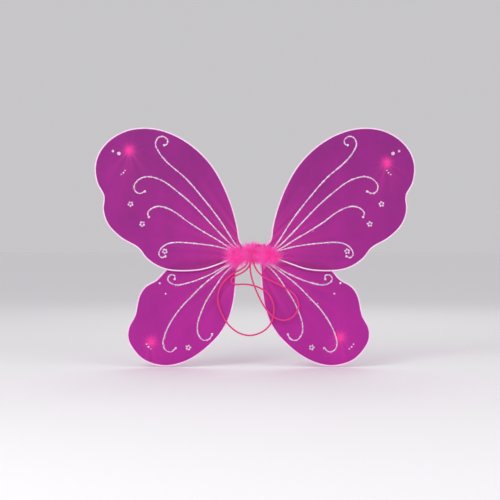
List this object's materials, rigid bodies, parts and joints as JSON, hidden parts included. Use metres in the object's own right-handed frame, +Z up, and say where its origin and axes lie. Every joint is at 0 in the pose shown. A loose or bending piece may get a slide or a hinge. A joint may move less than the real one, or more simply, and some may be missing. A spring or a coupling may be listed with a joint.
{
  "type": "fairy wings",
  "caption": "Sheer nylon butterfly wings on wire loops, bound to a small taped hub with feather tufts and elastic shoulder loops; each side folds back.",
  "frame": {"origin": "middle of the hub's front face, the side that rests on the wearer's back", "axes": "+X out along the right-hand wings as seen from the wearer's side, +Y away from the wearer, +Z up"},
  "size_m": [0.4825, 0.024, 0.3597],
  "materials": {
    "wire": "pale pink coated steel wire under one skin of nylon, satin",
    "nylon": "sheer magenta stretch nylon, faint sheen",
    "thread": "bunched nylon tied with hot pink thread",
    "tape": "hot pink cloth tape, wound",
    "feather": "hot pink down trim, matte and fluffy",
    "elastic": "braided pink-red elastic cord, matte",
    "glitter": "pale iridescent glitter in clear glue"
  },
  "bodies": {
    "hub": {"hub_wrap": "tape", "upper_wire_end_1": "wire", "upper_wire_end_2": "wire", "lower_wire_end_1": "wire", "lower_wire_end_2": "wire", "strap_knot": "elastic", "left_strap": "elastic", "right_strap": "elastic", "left_tuft": "feather", "right_tuft": "feather"},
    "upper_left": {"upper_left_frame": "wire", "upper_left_cover": "nylon", "upper_left_tie": "thread"},
    "lower_left": {"lower_left_frame": "wire", "lower_left_cover": "nylon", "lower_left_tie": "thread"},
    "upper_right": {"upper_right_frame": "wire", "upper_right_cover": "nylon", "upper_right_tie": "thread"},
    "lower_right": {"lower_right_frame": "wire", "lower_right_cover": "nylon", "lower_right_tie": "thread"}
  },
  "joints": [
    {"name": "left_fold", "type": "hinge", "parent": "hub", "child": "upper_left", "pos_m": [-0.0115, 0.009, 0], "axis": [0, 0, -1], "range_deg": [0, 70]},
    {"name": "left_splay", "type": "hinge", "parent": "upper_left", "child": "lower_left", "pos_m": [-0.0115, 0.009, 0], "axis": [0, 0, -1], "range_deg": [0, 15]},
    {"name": "right_fold", "type": "hinge", "parent": "hub", "child": "upper_right", "pos_m": [0.0115, 0.009, 0], "axis": [0, 0, 1], "range_deg": [0, 70]},
    {"name": "right_splay", "type": "hinge", "parent": "upper_right", "child": "lower_right", "pos_m": [0.0115, 0.009, 0], "axis": [0, 0, 1], "range_deg": [0, 15]}
  ]
}
